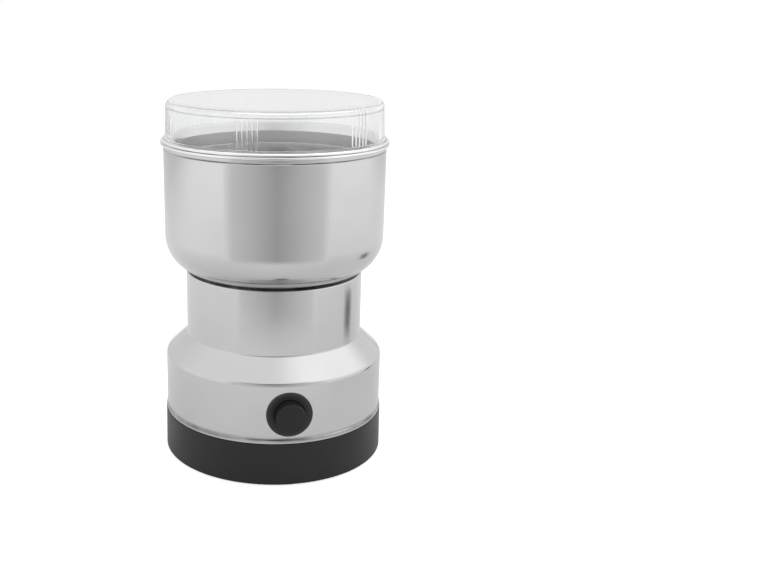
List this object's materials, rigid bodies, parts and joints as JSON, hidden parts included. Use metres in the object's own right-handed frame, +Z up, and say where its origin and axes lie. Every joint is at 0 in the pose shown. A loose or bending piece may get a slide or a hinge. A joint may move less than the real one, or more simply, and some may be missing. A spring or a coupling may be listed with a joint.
{
  "type": "electric grinder",
  "caption": "Small electric grinder: steel bowl with a clear ribbed lift-off lid on a waisted steel motor body, black base, round push button in front and a spinning blade in the bowl.",
  "frame": {"origin": "on the grinder's axis, at the table under the rubber feet", "axes": "+Z up along the motor shaft, -Y out of the push button, +X to the right seen from the front"},
  "size_m": [0.1038, 0.1134, 0.1659],
  "materials": {
    "clear_lid": "clear, polished",
    "steel": "satin, lightly polished",
    "bright_steel": "bright",
    "black_plastic": "fine satin",
    "button_plastic": "matt",
    "rubber": "matt",
    "frame_plastic": "moulded",
    "fan_plastic": "moulded",
    "laminations": "stamped sheets",
    "copper": "enamelled wire",
    "brass": "stamped",
    "bronze": "sintered",
    "carbon": "graphite",
    "insulation": "smooth"
  },
  "bodies": {
    "housing": {"bowl": "steel", "body_shell": "steel", "seam_gasket": "rubber", "floor_gasket": "rubber", "shaft_seal": "rubber", "feet": "rubber", "base": "black_plastic", "cord_gland": "black_plastic", "switch_bezel": "button_plastic", "switch_nut": "black_plastic", "switch_block": "fan_plastic", "switch_terminals": "brass", "button_spring": "bright_steel", "base_screws": "bright_steel", "bowl_screws": "bright_steel", "motor_frame": "frame_plastic", "lower_bracket": "frame_plastic", "upper_bearing": "bronze", "lower_bearing": "bronze", "stator_core": "laminations", "field_coils": "copper", "motor_bolts": "bright_steel", "brush_holders": "brass", "carbon_brushes": "carbon", "brush_springs": "bright_steel", "motor_leads": "insulation"},
    "rotor": {"motor_shaft": "bright_steel", "armature_core": "laminations", "armature_windings": "copper", "commutator": "copper", "thrust_washer": "fan_plastic", "cooling_fan": "fan_plastic", "blade_spacer": "bright_steel", "blade": "bright_steel", "blade_washer": "bright_steel", "blade_nut": "bright_steel"},
    "button": {"button_cap": "button_plastic"},
    "lid": {"lid": "clear_lid"}
  },
  "joints": [
    {"name": "lid_lift", "type": "slide", "parent": "housing", "child": "lid", "axis": [0, 0, 1], "range_m": [0, 0.06]},
    {"name": "rotor_spin", "type": "hinge", "parent": "housing", "child": "rotor", "pos_m": [0, 0, 0.05], "axis": [0, 0, 1], "continuous": true},
    {"name": "button_press", "type": "slide", "parent": "housing", "child": "button", "axis": [0, 1, 0], "range_m": [0, 0.003], "stiffness_N_per_m": 500, "springref_m": -0.002, "deforming": ["button_spring"]}
  ]
}
